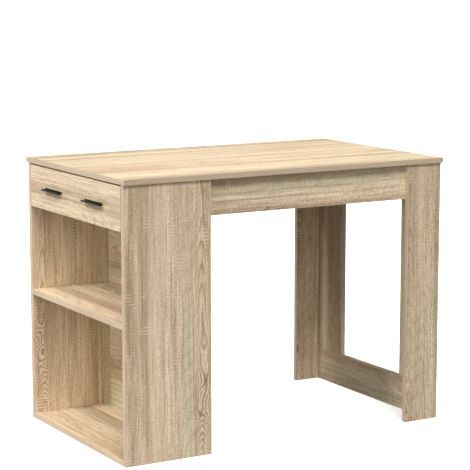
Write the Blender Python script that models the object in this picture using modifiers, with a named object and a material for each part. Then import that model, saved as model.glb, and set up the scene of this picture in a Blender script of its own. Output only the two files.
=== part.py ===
"""Writing desk with an open side cabinet, a side drawer on roller runners and a board leg.

Metres, +Z up. The origin is on the floor under the middle of the desk's outline. +X runs along the
desk from the cabinet to the leg, the sitter is at -Y, and the drawer opens towards -X.
"""

import math

import bmesh
import bpy
from mathutils import Matrix, Vector

# ---- desk outline ----
TOP_WIDTH = 1.020
TOP_DEPTH = 0.620
DESK_HEIGHT = 0.765
BOARD = 0.015
SIDE_OVERHANG = 0.003
FACE_OVERHANG = 0.009
EDGE_CHAMFER = 0.0005
JOINT_GAP = 0.0003

# ---- cabinet ----
CABINET_WIDTH = 0.260
SHELF_TOP = 0.383

# ---- leg and aprons ----
LEG_BOARD_WIDTH = 0.112
SIDE_BOARD_INSET = 0.0155
SIDE_BOARD_WIDTH = 0.131
BOTTOM_RAIL_HEIGHT = 0.100
APRON_HEIGHT = 0.100

# ---- drawer box ----
FACE_HEIGHT = 0.120
FACE_TOP_GAP = 0.004
FACE_SIDE_GAP = 0.0025
DRAWER_WALL = 0.012
DRAWER_WALL_HEIGHT = 0.085
DRAWER_WALL_LIFT = 0.014
DRAWER_END_ROOM = 0.014
BOTTOM_SHEET = 0.003
GROOVE_DEPTH = 0.005
GROOVE_LIFT = 0.010

# ---- handles ----
HANDLE_LENGTH = 0.106
HANDLE_REACH = 0.014
HANDLE_HEIGHT = 0.0075
HANDLE_LIP_DROP = 0.0015
HANDLE_BASE = 0.003
HANDLE_SHEET = 0.002
HANDLE_FILLET = 0.0009
HANDLE_OFFSET = 0.128
HANDLE_TOP_BELOW_DESK = 0.0755
HANDLE_SCREW_PITCH = 0.064

# ---- roller runners ----
RUNNER_ROOM = 0.0125
RAIL_SHEET = 0.001
RAIL_START = 0.002
RAIL_FLANGE_GAP = 0.0009
RAIL_DROP = 0.004
DRAWER_FLANGE = 0.010
ROLLER_RADIUS = 0.009
ROLLER_WIDTH = 0.0060
ROLLER_INSET = 0.012
ROLLER_LIFT = 0.0005
ROLLER_CHAMFER = 0.0005
TRACK_GAP = 0.001
TRAVEL_STOP_GAP = 0.002
PIN_RADIUS = 0.002
PIN_SHOULDER_RADIUS = 0.0032
PIN_SHOULDER = 0.0007
PIN_HEAD_RADIUS = 0.0035
PIN_HEAD = 0.0008
PIN_TAIL_RADIUS = 0.0015
PIN_CLEARANCE = 0.0003

# ---- screws ----
WOOD_SCREW_HEAD_RADIUS = 0.0032
WOOD_SCREW_HEAD = 0.0019
WOOD_SCREW_SHANK_RADIUS = 0.0015
WOOD_SCREW_LENGTH = 0.011
RAIL_SCREW_INSET = 0.040
END_SCREW_LENGTH = 0.030
END_SCREW_TOP_INSET = 0.020
END_SCREW_RAIL_ROOM = 0.0027
PAN_SCREW_HEAD_RADIUS = 0.0030
PAN_SCREW_HEAD = 0.0015
HANDLE_SCREW_RADIUS = 0.0018
HANDLE_SCREW_BITE = 0.0024

# ---- cam fittings under the top ----
CAM_RADIUS = 0.0072
CAM_BACK_WALL = 0.0033
CAM_DROP = 0.024
CAM_SLOT_WIDTH = 0.0016
CAM_SLOT_DEPTH = 0.0022
CAM_MOUTH_DEPTH = 0.0040
CAM_BOLT_RADIUS = 0.0021
CAM_BOLT_BALL_RADIUS = 0.0030
CAM_BOLT_BALL_LENGTH = 0.0040
CAM_BOLT_THREAD_RADIUS = 0.0027
CAM_BOLT_THREAD = 0.0100
CABINET_CAM_INSET = 0.045
LEG_CAM_INSET = 0.080

# ---- roundness ----
ROLLER_STEPS = 24
CAM_STEPS = 20
SCREW_STEPS = 12
ARC_STEPS = 3
MERGE_DISTANCE = 0.00001
SMOOTH_ANGLE = math.radians(35.0)

# ---- places worked out from the sizes ----
BODY_WIDTH = TOP_WIDTH - 2 * SIDE_OVERHANG
BODY_DEPTH = TOP_DEPTH - 2 * FACE_OVERHANG
LEFT = (HANDLE_REACH - SIDE_OVERHANG - BODY_WIDTH) / 2
RIGHT = LEFT + BODY_WIDTH
BACK = BODY_DEPTH / 2
UNDER_TOP = DESK_HEIGHT - BOARD
BOARD_TOP = UNDER_TOP - JOINT_GAP
INNER_Y = BACK - BOARD
BUTT_Y = INNER_Y - JOINT_GAP
CABINET_RIGHT = LEFT + CABINET_WIDTH
CABINET_BACK_X = CABINET_RIGHT - BOARD
SIDE_BOARD_RIGHT = RIGHT - SIDE_BOARD_INSET
SIDE_BOARD_LEFT = SIDE_BOARD_RIGHT - BOARD
FACE_BOTTOM = UNDER_TOP - FACE_TOP_GAP - FACE_HEIGHT
FACE_BACK_X = LEFT + BOARD
BOX_START_X = FACE_BACK_X + JOINT_GAP
BOX_END_X = CABINET_BACK_X - DRAWER_END_ROOM
BOX_BOTTOM = FACE_BOTTOM + DRAWER_WALL_LIFT
BOX_OUTER_Y = INNER_Y - RUNNER_ROOM
BOX_INNER_Y = BOX_OUTER_Y - DRAWER_WALL
SHEET_BOTTOM = BOX_BOTTOM + GROOVE_LIFT
HANDLE_TOP = DESK_HEIGHT - HANDLE_TOP_BELOW_DESK
CAM_HEIGHT = BOARD - CAM_BACK_WALL

RAIL_LEFT = FACE_BACK_X + RAIL_START
RAIL_RIGHT = BOX_END_X
RAIL_BOTTOM = BOX_BOTTOM - RAIL_DROP
FLOOR_TRACK = RAIL_BOTTOM + RAIL_SHEET
LOW_AXLE_Z = FLOOR_TRACK + JOINT_GAP + ROLLER_RADIUS
HIGH_AXLE_Z = LOW_AXLE_Z + ROLLER_LIFT
TRACK_UNDERSIDE = HIGH_AXLE_Z + ROLLER_RADIUS + JOINT_GAP
CHANNEL_ROOF = TRACK_UNDERSIDE + RAIL_SHEET + TRACK_GAP
CABINET_WEB_Y = INNER_Y - JOINT_GAP - RAIL_SHEET
DRAWER_WEB_Y = BOX_OUTER_Y + JOINT_GAP + RAIL_SHEET
FRONT_AXLE_X = RAIL_LEFT + ROLLER_INSET
REAR_AXLE_X = RAIL_RIGHT - ROLLER_INSET
DRAWER_TRAVEL = REAR_AXLE_X - FRONT_AXLE_X - 2 * ROLLER_RADIUS - TRAVEL_STOP_GAP

DESK_SIDES = {"front": -1.0, "back": 1.0}

# ---- finishes: base colour, roughness, metallic ----
FINISHES = {
    "oak_foil": ((0.64, 0.49, 0.33, 1.0), 0.55, 0.0),
    "backing_sheet": ((0.62, 0.50, 0.36, 1.0), 0.70, 0.0),
    "black_metal": ((0.012, 0.012, 0.011, 1.0), 0.45, 0.6),
    "white_rail": ((0.78, 0.78, 0.76, 1.0), 0.40, 0.3),
    "roller_plastic": ((0.72, 0.72, 0.70, 1.0), 0.50, 0.0),
    "zinc": ((0.55, 0.55, 0.54, 1.0), 0.38, 1.0),
}

PARTS = None
CUTTERS = None


def clear_scene():
    """Remove every object and every unused collection, mesh and curve."""
    for obj in list(bpy.data.objects):
        bpy.data.objects.remove(obj, do_unlink=True)
    for collection in list(bpy.data.collections):
        bpy.data.collections.remove(collection)
    for blocks in (bpy.data.meshes, bpy.data.curves, bpy.data.materials):
        for block in list(blocks):
            blocks.remove(block)


def new_collection(name):
    """Add a collection to the scene."""
    collection = bpy.data.collections.new(name)
    bpy.context.scene.collection.children.link(collection)
    return collection


def finish(name, slot):
    """A material of the piece's own, from the named finish."""
    colour, roughness, metallic = FINISHES[slot]
    material = bpy.data.materials.new(name + "_" + slot)
    material.use_nodes = True
    shader = material.node_tree.nodes["Principled BSDF"]
    shader.inputs["Base Color"].default_value = colour
    shader.inputs["Roughness"].default_value = roughness
    shader.inputs["Metallic"].default_value = metallic
    material.diffuse_color = colour
    return material


def add_part(name, mesh, slot, matrix=None):
    """Link a mesh as a named part of the desk."""
    obj = bpy.data.objects.new(name, mesh)
    obj.data.name = name
    obj.matrix_world = matrix or Matrix.Identity(4)
    obj.data.materials.append(finish(name, slot))
    PARTS.objects.link(obj)
    return obj


def add_cutter(name, mesh, matrix=None):
    """Link a mesh as a cutter, which is never part of the desk."""
    obj = bpy.data.objects.new(name, mesh)
    obj.matrix_world = matrix or Matrix.Identity(4)
    obj.hide_render = True
    obj.display_type = "WIRE"
    CUTTERS.objects.link(obj)
    return obj


def cut(target, cutter):
    """Subtract a cutter from a part."""
    modifier = target.modifiers.new("cut_" + cutter.name, "BOOLEAN")
    modifier.operation = "DIFFERENCE"
    modifier.solver = "EXACT"
    modifier.object = cutter


def chamfer(obj, width=EDGE_CHAMFER, segments=1):
    """Take the sharp edges off a part."""
    modifier = obj.modifiers.new("edges", "BEVEL")
    modifier.width = width
    modifier.segments = segments
    modifier.limit_method = "ANGLE"
    modifier.harden_normals = False


def smooth(obj):
    """Shade a round part smooth, keeping its hard edges."""
    obj.data.shade_smooth()
    obj.data.set_sharp_from_angle(angle=SMOOTH_ANGLE)


def box_mesh(name, size):
    """A box about the origin."""
    mesh = bpy.data.meshes.new(name)
    work = bmesh.new()
    bmesh.ops.create_cube(work, size=1.0)
    bmesh.ops.scale(work, vec=size, verts=work.verts)
    work.to_mesh(mesh)
    work.free()
    return mesh


def box_between(low, high):
    """The size of a box and the matrix of its middle."""
    low = Vector(low)
    high = Vector(high)
    return high - low, Matrix.Translation((low + high) / 2)


def board(name, low, high, slot="oak_foil"):
    """A board between two corners, with its edges eased."""
    size, middle = box_between(low, high)
    obj = add_part(name, box_mesh(name, size), slot, middle)
    chamfer(obj)
    return obj


def box_cutter(name, low, high):
    """A box-shaped cutter between two corners."""
    size, middle = box_between(low, high)
    return add_cutter(name, box_mesh(name, size), middle)


def aim(place, direction):
    """The matrix that puts a shape's +Z along a direction, at a place."""
    turn = Vector((0.0, 0.0, 1.0)).rotation_difference(Vector(direction))
    return Matrix.Translation(Vector(place)) @ turn.to_matrix().to_4x4()


def turned_mesh(name, profile, closed=False, steps=SCREW_STEPS):
    """Turn an outline of (radius, height) points, listed down its outer side, about Z."""
    mesh = bpy.data.meshes.new(name)
    work = bmesh.new()
    points = [work.verts.new((radius, 0.0, height)) for radius, height in profile]
    for first, second in zip(points, points[1:]):
        work.edges.new((first, second))
    if closed:
        work.edges.new((points[-1], points[0]))
    work.to_mesh(mesh)
    work.free()
    holder = bpy.data.objects.new(name, mesh)
    bpy.context.scene.collection.objects.link(holder)
    modifier = holder.modifiers.new("turn", "SCREW")
    modifier.axis = "Z"
    modifier.steps = steps
    modifier.render_steps = steps
    modifier.use_merge_vertices = True
    modifier.merge_threshold = MERGE_DISTANCE
    evaluated = holder.evaluated_get(bpy.context.evaluated_depsgraph_get())
    turned = bpy.data.meshes.new_from_object(evaluated)
    bpy.data.objects.remove(holder, do_unlink=True)
    bpy.data.meshes.remove(mesh)
    return turned


def cylinder_mesh(name, radius, low, high, steps):
    """A solid cylinder about Z between two heights."""
    mesh = bpy.data.meshes.new(name)
    work = bmesh.new()
    bmesh.ops.create_cone(
        work, cap_ends=True, segments=steps, radius1=radius, radius2=radius, depth=high - low
    )
    bmesh.ops.translate(work, vec=(0.0, 0.0, (low + high) / 2), verts=work.verts)
    work.to_mesh(mesh)
    work.free()
    return mesh


def filleted(corners):
    """Round an outline's corners, given as (point, radius), into arcs of a few steps."""
    outline = []
    for index, (corner, radius) in enumerate(corners):
        here = Vector(corner)
        before = (Vector(corners[index - 1][0]) - here).normalized()
        after = (Vector(corners[(index + 1) % len(corners)][0]) - here).normalized()
        if radius == 0.0:
            outline.append(here)
            continue
        start = here + before * radius
        centre = start + after * radius
        for step in range(ARC_STEPS + 1):
            angle = math.pi / 2 * step / ARC_STEPS
            outline.append(centre - after * radius * math.cos(angle) - before * radius * math.sin(angle))
    return outline


def extruded_mesh(name, outline, length):
    """Extrude a flat outline of (y, z) points along X, from 0 to a length."""
    curve = bpy.data.curves.new(name, "CURVE")
    curve.dimensions = "2D"
    curve.fill_mode = "BOTH"
    curve.extrude = length / 2
    spline = curve.splines.new("POLY")
    spline.points.add(len(outline) - 1)
    for point, (across, up) in zip(spline.points, outline):
        point.co = (across, up, 0.0, 1.0)
    spline.use_cyclic_u = True
    holder = bpy.data.objects.new(name, curve)
    bpy.context.scene.collection.objects.link(holder)
    evaluated = holder.evaluated_get(bpy.context.evaluated_depsgraph_get())
    mesh = bpy.data.meshes.new_from_object(evaluated)
    bpy.data.objects.remove(holder, do_unlink=True)
    bpy.data.curves.remove(curve)
    work = bmesh.new()
    work.from_mesh(mesh)
    bmesh.ops.remove_doubles(work, verts=work.verts, dist=MERGE_DISTANCE)
    lay_along_x = Matrix(((0, 0, 1, length / 2), (1, 0, 0, 0), (0, 1, 0, 0), (0, 0, 0, 1)))
    bmesh.ops.transform(work, matrix=lay_along_x, verts=work.verts)
    bmesh.ops.recalc_face_normals(work, faces=work.faces)
    work.to_mesh(mesh)
    work.free()
    return mesh


def mirrored_span(side, near, far):
    """The low and high Y of a stretch given on the back half, moved to the named side."""
    return sorted((side * near, side * far))


# ---- desk frame ----


def build_top():
    """The tabletop."""
    return board(
        "tabletop",
        (LEFT - SIDE_OVERHANG, -TOP_DEPTH / 2, UNDER_TOP),
        (RIGHT + SIDE_OVERHANG, TOP_DEPTH / 2, DESK_HEIGHT),
    )


def build_cabinet():
    """The cabinet's two wide panels, its inner panel, floor and shelf."""
    panels = {}
    for word, side in DESK_SIDES.items():
        low_y, high_y = mirrored_span(side, INNER_Y, BACK)
        panels[word] = board(
            "cabinet_" + word + "_panel", (LEFT, low_y, 0.0), (CABINET_RIGHT, high_y, BOARD_TOP)
        )
    board(
        "cabinet_inner_panel",
        (CABINET_BACK_X, -BUTT_Y, 0.0),
        (CABINET_RIGHT, BUTT_Y, BOARD_TOP),
    )
    for name, top in (("cabinet_floor", BOARD), ("cabinet_shelf", SHELF_TOP)):
        board(
            name,
            (LEFT, -BUTT_Y, top - BOARD),
            (CABINET_BACK_X - JOINT_GAP, BUTT_Y, top),
        )
    return panels


def build_leg():
    """The board leg: two face boards, two side boards and the rail between them."""
    side_boards = {}
    for word, side in DESK_SIDES.items():
        low_y, high_y = mirrored_span(side, INNER_Y, BACK)
        board(
            "leg_" + word + "_board",
            (RIGHT - LEG_BOARD_WIDTH, low_y, 0.0),
            (RIGHT, high_y, BOARD_TOP),
        )
        low_y, high_y = mirrored_span(side, BUTT_Y - SIDE_BOARD_WIDTH, BUTT_Y)
        side_boards[word] = board(
            "leg_" + word + "_side_board",
            (SIDE_BOARD_LEFT, low_y, BOTTOM_RAIL_HEIGHT + JOINT_GAP),
            (SIDE_BOARD_RIGHT, high_y, BOARD_TOP),
        )
    board(
        "leg_bottom_rail",
        (SIDE_BOARD_LEFT, -BUTT_Y, 0.0),
        (SIDE_BOARD_RIGHT, BUTT_Y, BOTTOM_RAIL_HEIGHT),
    )
    return side_boards


def build_aprons():
    """The front and back aprons under the top, from the cabinet to the leg."""
    for word, side in DESK_SIDES.items():
        low_y, high_y = mirrored_span(side, BUTT_Y - BOARD, BUTT_Y)
        board(
            word + "_apron",
            (CABINET_RIGHT + JOINT_GAP, low_y, UNDER_TOP - APRON_HEIGHT),
            (SIDE_BOARD_LEFT - JOINT_GAP, high_y, BOARD_TOP),
        )


# ---- cam fittings ----


def cam_mesh(name):
    """A cam's drum, standing on Z = 0 with its slotted face up."""
    bevel = EDGE_CHAMFER
    profile = [
        (0.0, CAM_HEIGHT),
        (CAM_RADIUS - bevel, CAM_HEIGHT),
        (CAM_RADIUS, CAM_HEIGHT - bevel),
        (CAM_RADIUS, 0.0),
        (0.0, 0.0),
    ]
    return turned_mesh(name, profile, steps=CAM_STEPS)


def bolt_mesh(name, grow=0.0):
    """A cam bolt on Z, with Z = 0 at the underside of the top; grow fattens it into a cutter."""
    ball_top = -CAM_DROP + CAM_BOLT_BALL_LENGTH / 2
    ball_end = ball_top - CAM_BOLT_BALL_LENGTH
    profile = [
        (0.0, CAM_BOLT_THREAD + grow),
        (CAM_BOLT_THREAD_RADIUS + grow, CAM_BOLT_THREAD + grow),
        (CAM_BOLT_THREAD_RADIUS + grow, -grow),
        (CAM_BOLT_RADIUS + grow, -grow),
        (CAM_BOLT_RADIUS + grow, ball_top + grow),
        (CAM_BOLT_BALL_RADIUS + grow, ball_top + grow),
        (CAM_BOLT_BALL_RADIUS + grow, ball_end - grow),
        (0.0, ball_end - grow),
    ]
    return turned_mesh(name, profile)


def add_cam_fitting(word, top, panel, face_point, outward):
    """A cam in a board's face and its bolt in the tabletop, with their holes."""
    face = Vector(face_point)
    outward = Vector(outward)
    middle = face - outward * BOARD / 2
    drum_place = face - outward * CAM_HEIGHT
    drum_axis = aim(drum_place, outward)

    cam = add_part("cam_" + word, cam_mesh("cam_" + word), "zinc", drum_axis)
    smooth(cam)
    across = outward.cross(Vector((0.0, 0.0, 1.0)))
    for name, along in (("upright", Vector((0.0, 0.0, 1.0))), ("level", across)):
        reach = along * CAM_RADIUS / 2
        half = along.cross(outward) * CAM_SLOT_WIDTH / 2
        corners = [
            face + sign * reach + other * half + outward * depth
            for sign in (-1, 1)
            for other in (-1, 1)
            for depth in (-CAM_SLOT_DEPTH, CAM_SLOT_DEPTH)
        ]
        low = [min(corner[axis] for corner in corners) for axis in range(3)]
        high = [max(corner[axis] for corner in corners) for axis in range(3)]
        cut(cam, box_cutter("cut_cam_" + name + "_" + word, low, high))
    mouth_radius = CAM_BOLT_BALL_RADIUS + 2 * JOINT_GAP
    mouth = cylinder_mesh("mouth", mouth_radius, -CAM_MOUTH_DEPTH, 2 * CAM_RADIUS, SCREW_STEPS)
    cut(cam, add_cutter("cut_cam_mouth_" + word, mouth, Matrix.Translation(middle)))

    pocket = cylinder_mesh("pocket", CAM_RADIUS + JOINT_GAP, -JOINT_GAP, BOARD, CAM_STEPS)
    cut(panel, add_cutter("cut_cam_pocket_" + word, pocket, drum_axis))
    bolt_place = Matrix.Translation((middle.x, middle.y, UNDER_TOP))
    well = cylinder_mesh("well", mouth_radius, -CAM_DROP, CAM_RADIUS, SCREW_STEPS)
    cut(panel, add_cutter("cut_bolt_well_" + word, well, bolt_place))
    bolt = add_part("cam_bolt_" + word, bolt_mesh("cam_bolt_" + word), "zinc", bolt_place)
    smooth(bolt)
    hole_depth = CAM_BOLT_THREAD + JOINT_GAP
    hole = cylinder_mesh(
        "hole", CAM_BOLT_THREAD_RADIUS + JOINT_GAP, -CAM_RADIUS, hole_depth, SCREW_STEPS
    )
    cut(top, add_cutter("cut_bolt_hole_" + word, hole, bolt_place))


def build_cam_fittings(top, panels, side_boards):
    """Two cams in each wide panel and one in each side board hold the top down."""
    cam_z = UNDER_TOP - CAM_DROP
    for word, side in DESK_SIDES.items():
        places = (
            ("outer_", LEFT + CABINET_CAM_INSET),
            ("inner_", CABINET_BACK_X - CABINET_CAM_INSET),
        )
        for end, x in places:
            face_point = (x, side * INNER_Y, cam_z)
            add_cam_fitting(end + word, top, panels[word], face_point, (0.0, -side, 0.0))
        face_point = (SIDE_BOARD_LEFT, side * (INNER_Y - LEG_CAM_INSET), cam_z)
        add_cam_fitting("leg_" + word, top, side_boards[word], face_point, (-1.0, 0.0, 0.0))


# ---- screws ----


def countersunk_mesh(name, length, grow=0.0):
    """A countersunk screw pointing down -Z with its head flush at Z = 0."""
    neck = -WOOD_SCREW_HEAD - grow
    tip = -length - grow
    shank = WOOD_SCREW_SHANK_RADIUS + grow
    rim = WOOD_SCREW_HEAD_RADIUS + grow
    top = [(0.0, BOARD), (rim, BOARD)] if grow else [(0.0, 0.0)]
    return turned_mesh(name, [*top, (rim, 0.0), (shank, neck), (shank, tip + shank), (0.0, tip)])


def pan_mesh(name, length, shank, grow=0.0):
    """A pan-head screw on Z: its shank points up from Z = 0 and its head hangs below."""
    profile = [
        (0.0, length + grow),
        (shank + grow, length + grow),
        (shank + grow, 0.0 if not grow else -BOARD),
    ]
    if grow:
        profile.append((0.0, -BOARD))
        return turned_mesh(name, profile)
    round_top = PAN_SCREW_HEAD / 2
    profile += [
        (PAN_SCREW_HEAD_RADIUS, 0.0),
        (PAN_SCREW_HEAD_RADIUS, -round_top),
        (PAN_SCREW_HEAD_RADIUS - round_top, -PAN_SCREW_HEAD),
        (0.0, -PAN_SCREW_HEAD),
    ]
    return turned_mesh(name, profile)


def add_countersunk(name, targets, place, inward, length, parent=None):
    """A countersunk screw whose head is flush at a place, and its hole in each target."""
    matrix = aim(place, -Vector(inward))
    screw = add_part(name, countersunk_mesh(name, length), "zinc", matrix)
    smooth(screw)
    hole = add_cutter("cut_" + name, countersunk_mesh("hole", length, JOINT_GAP), matrix)
    for target in targets:
        cut(target, hole)
    hold(screw, parent)
    hold(hole, parent)


def add_pan_screw(name, targets, place, inward, length, shank, parent=None):
    """A pan-head screw seated at a place, and its hole in each target."""
    matrix = aim(place, inward)
    screw = add_part(name, pan_mesh(name, length, shank), "zinc", matrix)
    smooth(screw)
    hole = add_cutter("cut_" + name, pan_mesh("hole", length, shank, JOINT_GAP), matrix)
    for target in targets:
        cut(target, hole)
    hold(screw, parent)
    hold(hole, parent)


def hold(obj, parent):
    """Parent an object without moving it."""
    if parent is None:
        return
    bpy.context.view_layer.update()
    place = obj.matrix_world.copy()
    obj.parent = parent
    obj.matrix_parent_inverse = parent.matrix_world.inverted()
    obj.matrix_world = place


# ---- drawer ----


def build_drawer_box(slide):
    """The drawer's face, two walls, end wall and bottom sheet."""
    boards = {}
    face_y = INNER_Y - FACE_SIDE_GAP
    boards["face"] = board(
        "drawer_face",
        (LEFT, -face_y, FACE_BOTTOM),
        (FACE_BACK_X, face_y, FACE_BOTTOM + FACE_HEIGHT),
    )
    box_top = BOX_BOTTOM + DRAWER_WALL_HEIGHT
    for word, side in DESK_SIDES.items():
        low_y, high_y = mirrored_span(side, BOX_INNER_Y, BOX_OUTER_Y)
        boards[word] = board(
            "drawer_" + word + "_wall",
            (BOX_START_X, low_y, BOX_BOTTOM),
            (BOX_END_X, high_y, box_top),
        )
    end_y = BOX_INNER_Y - JOINT_GAP
    boards["end"] = board(
        "drawer_end_wall",
        (BOX_END_X - DRAWER_WALL, -end_y, BOX_BOTTOM),
        (BOX_END_X, end_y, box_top),
    )
    sheet_y = BOX_INNER_Y + GROOVE_DEPTH
    sheet_left = FACE_BACK_X - GROOVE_DEPTH
    sheet_right = BOX_END_X - DRAWER_WALL + GROOVE_DEPTH
    sheet_top = SHEET_BOTTOM + BOTTOM_SHEET
    size, middle = box_between(
        (sheet_left, -sheet_y, SHEET_BOTTOM), (sheet_right, sheet_y, sheet_top)
    )
    sheet = add_part("drawer_bottom_sheet", box_mesh("drawer_bottom_sheet", size), "backing_sheet", middle)
    gap = JOINT_GAP
    groove = box_cutter(
        "cut_drawer_groove",
        (sheet_left - gap, -sheet_y - gap, SHEET_BOTTOM - gap),
        (sheet_right + gap, sheet_y + gap, sheet_top + gap),
    )
    for part in boards.values():
        cut(part, groove)
        hold(part, slide)
    hold(sheet, slide)
    hold(groove, slide)
    return boards


def handle_mesh(name):
    """A trough handle open at the top, lying along X with its base at y = 0 and reaching to -y."""
    base = -JOINT_GAP
    reach = -HANDLE_REACH
    low = -HANDLE_HEIGHT
    lip = -HANDLE_LIP_DROP
    outer = HANDLE_SHEET
    inner = HANDLE_FILLET
    floor = low + HANDLE_SHEET
    corners = [
        ((base, 0.0), 0.0),
        ((base, low), 0.0),
        ((reach, low), outer),
        ((reach, lip), HANDLE_FILLET),
        ((reach + HANDLE_SHEET, lip), HANDLE_FILLET),
        ((reach + HANDLE_SHEET, floor), inner),
        ((base - HANDLE_BASE, floor), inner),
        ((base - HANDLE_BASE, 0.0), inner),
    ]
    return extruded_mesh(name, filleted(corners), HANDLE_LENGTH)


def build_handles(slide, face):
    """Two black trough handles on the drawer's face, each held by two screws from behind."""
    turn = Matrix(((0, 1, 0, 0), (-1, 0, 0, 0), (0, 0, 1, 0), (0, 0, 0, 1)))
    screw_length = BOARD + JOINT_GAP + HANDLE_SCREW_BITE
    screw_z = HANDLE_TOP - HANDLE_HEIGHT / 2
    for word, side in DESK_SIDES.items():
        middle_y = side * HANDLE_OFFSET
        start = Matrix.Translation((LEFT, middle_y + HANDLE_LENGTH / 2, HANDLE_TOP))
        name = "handle_" + word
        handle = add_part(name, handle_mesh(name), "black_metal", start @ turn)
        smooth(handle)
        for end, shift in (("a", -HANDLE_SCREW_PITCH / 2), ("b", HANDLE_SCREW_PITCH / 2)):
            add_pan_screw(
                "handle_screw_" + word + "_" + end,
                (face, handle),
                (FACE_BACK_X + JOINT_GAP, middle_y + shift, screw_z),
                (-1.0, 0.0, 0.0),
                screw_length,
                HANDLE_SCREW_RADIUS,
                slide,
            )
        hold(handle, slide)


def build_end_screws(slide, boards):
    """Two screws through each drawer wall into the end wall."""
    x = BOX_END_X - DRAWER_WALL / 2
    heights = (
        TRACK_UNDERSIDE + RAIL_SHEET + END_SCREW_RAIL_ROOM + WOOD_SCREW_HEAD_RADIUS,
        BOX_BOTTOM + DRAWER_WALL_HEIGHT - END_SCREW_TOP_INSET,
    )
    for word, side in DESK_SIDES.items():
        for level, z in zip(("low", "high"), heights):
            add_countersunk(
                "end_screw_" + word + "_" + level,
                (boards[word], boards["end"]),
                (x, side * BOX_OUTER_Y, z),
                (0.0, -side, 0.0),
                END_SCREW_LENGTH,
                slide,
            )


# ---- runners ----


def cabinet_rail_outline(side):
    """The C-shaped rail on a cabinet panel, as (y, z) points."""
    outer = INNER_Y - JOINT_GAP
    web = CABINET_WEB_Y
    tip = DRAWER_WEB_Y + RAIL_FLANGE_GAP
    roof = CHANNEL_ROOF + RAIL_SHEET
    points = [
        (outer, RAIL_BOTTOM),
        (outer, roof),
        (tip, roof),
        (tip, CHANNEL_ROOF),
        (web, CHANNEL_ROOF),
        (web, FLOOR_TRACK),
        (tip, FLOOR_TRACK),
        (tip, RAIL_BOTTOM),
    ]
    return [(side * y, z) for y, z in points]


def drawer_rail_outline(side):
    """The Z-shaped rail under a drawer wall, as (y, z) points."""
    inner = BOX_OUTER_Y + JOINT_GAP
    under = BOX_BOTTOM - JOINT_GAP
    seat = BOX_OUTER_Y - DRAWER_FLANGE
    tip = CABINET_WEB_Y - RAIL_FLANGE_GAP
    points = [
        (seat, under - RAIL_SHEET),
        (DRAWER_WEB_Y, under - RAIL_SHEET),
        (DRAWER_WEB_Y, TRACK_UNDERSIDE),
        (tip, TRACK_UNDERSIDE),
        (tip, TRACK_UNDERSIDE + RAIL_SHEET),
        (inner, TRACK_UNDERSIDE + RAIL_SHEET),
        (inner, under),
        (seat, under),
    ]
    return [(side * y, z) for y, z in points]


def roller_mesh(name):
    """A bored roller about Z, with its near face on Z = 0."""
    bore = PIN_RADIUS + PIN_CLEARANCE
    edge = ROLLER_RADIUS - ROLLER_CHAMFER
    profile = [
        (bore, ROLLER_WIDTH),
        (edge, ROLLER_WIDTH),
        (ROLLER_RADIUS, ROLLER_WIDTH - ROLLER_CHAMFER),
        (ROLLER_RADIUS, ROLLER_CHAMFER),
        (edge, 0.0),
        (bore, 0.0),
    ]
    return turned_mesh(name, profile, closed=True, steps=ROLLER_STEPS)


def pin_mesh(name):
    """A roller's pin on Z: tail in the web below Z = 0, then shoulder, stem and head."""
    shoulder = JOINT_GAP + PIN_SHOULDER
    stem_end = shoulder + 2 * JOINT_GAP + ROLLER_WIDTH
    profile = [
        (0.0, stem_end + PIN_HEAD),
        (PIN_HEAD_RADIUS - EDGE_CHAMFER, stem_end + PIN_HEAD),
        (PIN_HEAD_RADIUS, stem_end + PIN_HEAD - EDGE_CHAMFER),
        (PIN_HEAD_RADIUS, stem_end),
        (PIN_RADIUS, stem_end),
        (PIN_RADIUS, shoulder),
        (PIN_SHOULDER_RADIUS, shoulder),
        (PIN_SHOULDER_RADIUS, JOINT_GAP),
        (PIN_TAIL_RADIUS, JOINT_GAP),
        (PIN_TAIL_RADIUS, -RAIL_SHEET),
        (0.0, -RAIL_SHEET),
    ]
    return turned_mesh(name, profile)


def add_roller(word, rail, place, direction, slide=None):
    """A roller on its pin, standing out from a rail's web at a place."""
    pin_name = "roller_pin_" + word
    pin = add_part(pin_name, pin_mesh(pin_name), "zinc", aim(place, direction))
    smooth(pin)
    hole = cylinder_mesh(
        "hole", PIN_TAIL_RADIUS + JOINT_GAP, -2 * RAIL_SHEET, RAIL_SHEET, SCREW_STEPS
    )
    hole_cutter = add_cutter("cut_" + pin_name, hole, aim(place, direction))
    cut(rail, hole_cutter)
    offset = 2 * JOINT_GAP + PIN_SHOULDER
    roller_place = Vector(place) + Vector(direction) * offset
    name = "roller_" + word
    roller = add_part(name, roller_mesh(name), "roller_plastic", aim(roller_place, direction))
    smooth(roller)
    for obj in (pin, hole_cutter, roller):
        hold(obj, slide)


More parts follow.
